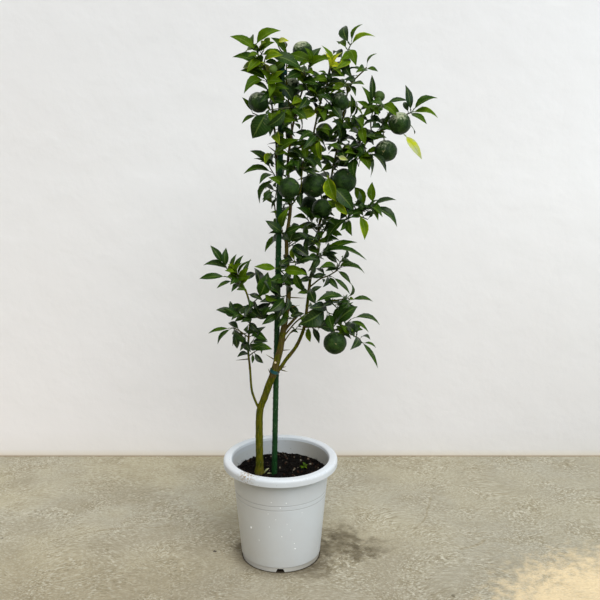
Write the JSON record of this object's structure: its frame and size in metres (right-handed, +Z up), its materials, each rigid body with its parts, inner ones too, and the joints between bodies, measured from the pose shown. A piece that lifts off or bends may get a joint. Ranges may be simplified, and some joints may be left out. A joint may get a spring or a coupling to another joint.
{
  "type": "potted yuzu tree",
  "caption": "Young yuzu citrus tree bearing green fruit, tied to a coated garden stake and planted in a light grey round nursery pot with a rolled rim.",
  "frame": {"origin": "middle of the pot's foot pad, on the ground the pot stands on", "axes": "+Z up along the pot's axis, -Y towards the side that the plant is shown from, +X to that viewer's right"},
  "size_m": [0.635, 0.3812, 1.52],
  "materials": {
    "pot": "satin",
    "soil": "matte",
    "bark": "matte",
    "stake": "satin",
    "stake_ends": "satin",
    "tie": "matte",
    "fruit": "satin",
    "leaf": "satin",
    "weed": "satin"
  },
  "bodies": {
    "root": {"pot": "pot", "soil": "soil", "trunk": "bark", "stake_tube": "stake", "stake_cap": "stake_ends", "stake_point": "stake_ends", "tie_lower": "tie", "tie_upper": "tie", "weed_sprout": "weed", "fruit_behind_high": "fruit", "fruit_behind_low": "fruit", "fruit_big_left": "fruit", "fruit_big_right": "fruit", "fruit_far_right": "fruit", "fruit_left_high": "fruit", "fruit_low": "fruit", "fruit_right": "fruit", "fruit_shaded": "fruit", "fruit_stake": "fruit", "fruit_top": "fruit", "fruit_upper_middle": "fruit", "fruit_upper_right": "fruit", "fruitlet": "fruit", "shoot_back_high": "leaf", "shoot_back_low": "leaf", "shoot_back_middle": "leaf", "shoot_dark": "leaf", "shoot_faded_leaf": "leaf", "shoot_far_right": "leaf", "shoot_gold": "leaf", "shoot_inner": "leaf", "shoot_left_big": "leaf", "shoot_left_fan": "leaf", "shoot_left_far": "leaf", "shoot_left_of_fruit": "leaf", "shoot_left_of_stake": "leaf", "shoot_left_pair": "leaf", "shoot_left_rosette": "leaf", "shoot_left_shoulder": "leaf", "shoot_low_right_hang": "leaf", "shoot_low_right_tip": "leaf", "shoot_low_right_upper": "leaf", "shoot_lowest_right": "leaf", "shoot_middle_arch": "leaf", "shoot_middle_low": "leaf", "shoot_over_right_fruit": "leaf", "shoot_right_bow": "leaf", "shoot_right_drop": "leaf", "shoot_right_end": "leaf", "shoot_right_pair": "leaf", "shoot_right_stair": "leaf", "shoot_right_step": "leaf", "shoot_stake_top": "leaf", "shoot_top_left": "leaf", "shoot_top_middle": "leaf", "shoot_top_right": "leaf", "shoot_upper_left": "leaf", "shoot_upper_middle": "leaf", "shoot_variegated": "leaf", "shoot_vee": "leaf"}
  },
  "joints": []
}
